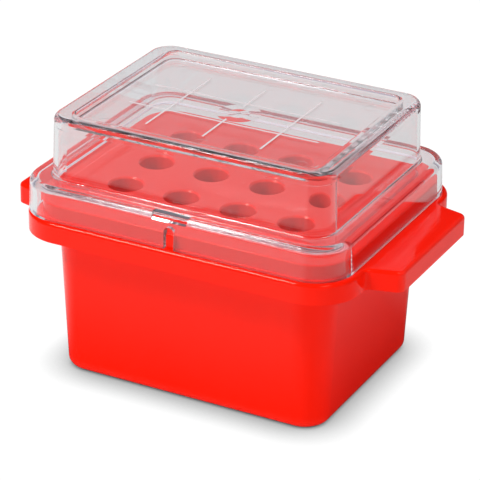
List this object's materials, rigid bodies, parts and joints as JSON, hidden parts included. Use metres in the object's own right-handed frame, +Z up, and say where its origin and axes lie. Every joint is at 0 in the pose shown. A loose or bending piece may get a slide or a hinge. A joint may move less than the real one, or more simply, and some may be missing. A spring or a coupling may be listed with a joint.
{
  "type": "benchtop tube cooler",
  "caption": "Gel-filled benchtop cooler: red tapered tub with ledge grips, a deck of round wells for small tubes, and a clear stepped lift-off lid with a thumb notch.",
  "frame": {"origin": "centre of the face the tub stands on", "axes": "+X along a row of four wells, +Y to the back, away from the lid key and thumb notch, +Z up"},
  "size_m": [0.143, 0.0966, 0.092],
  "materials": {
    "red_shell": "moulded polycarbonate, satin gloss",
    "red_deck": "moulded polycarbonate, satin gloss",
    "gel": "soft refreezable gel",
    "red_plug": "moulded polycarbonate, satin gloss",
    "clear_lid": "clear moulded polycarbonate, polished",
    "white_ink": "thin opaque white print"
  },
  "bodies": {
    "tub": {"outer_tub": "red_shell", "well_insert": "red_deck", "cooling_gel": "gel", "fill_plug": "red_plug"},
    "lid": {"lid": "clear_lid", "printed_grid": "white_ink"}
  },
  "joints": [
    {"name": "lid_lift", "type": "slide", "parent": "tub", "child": "lid", "axis": [0, 0, 1], "range_m": [0, 0.08]}
  ]
}
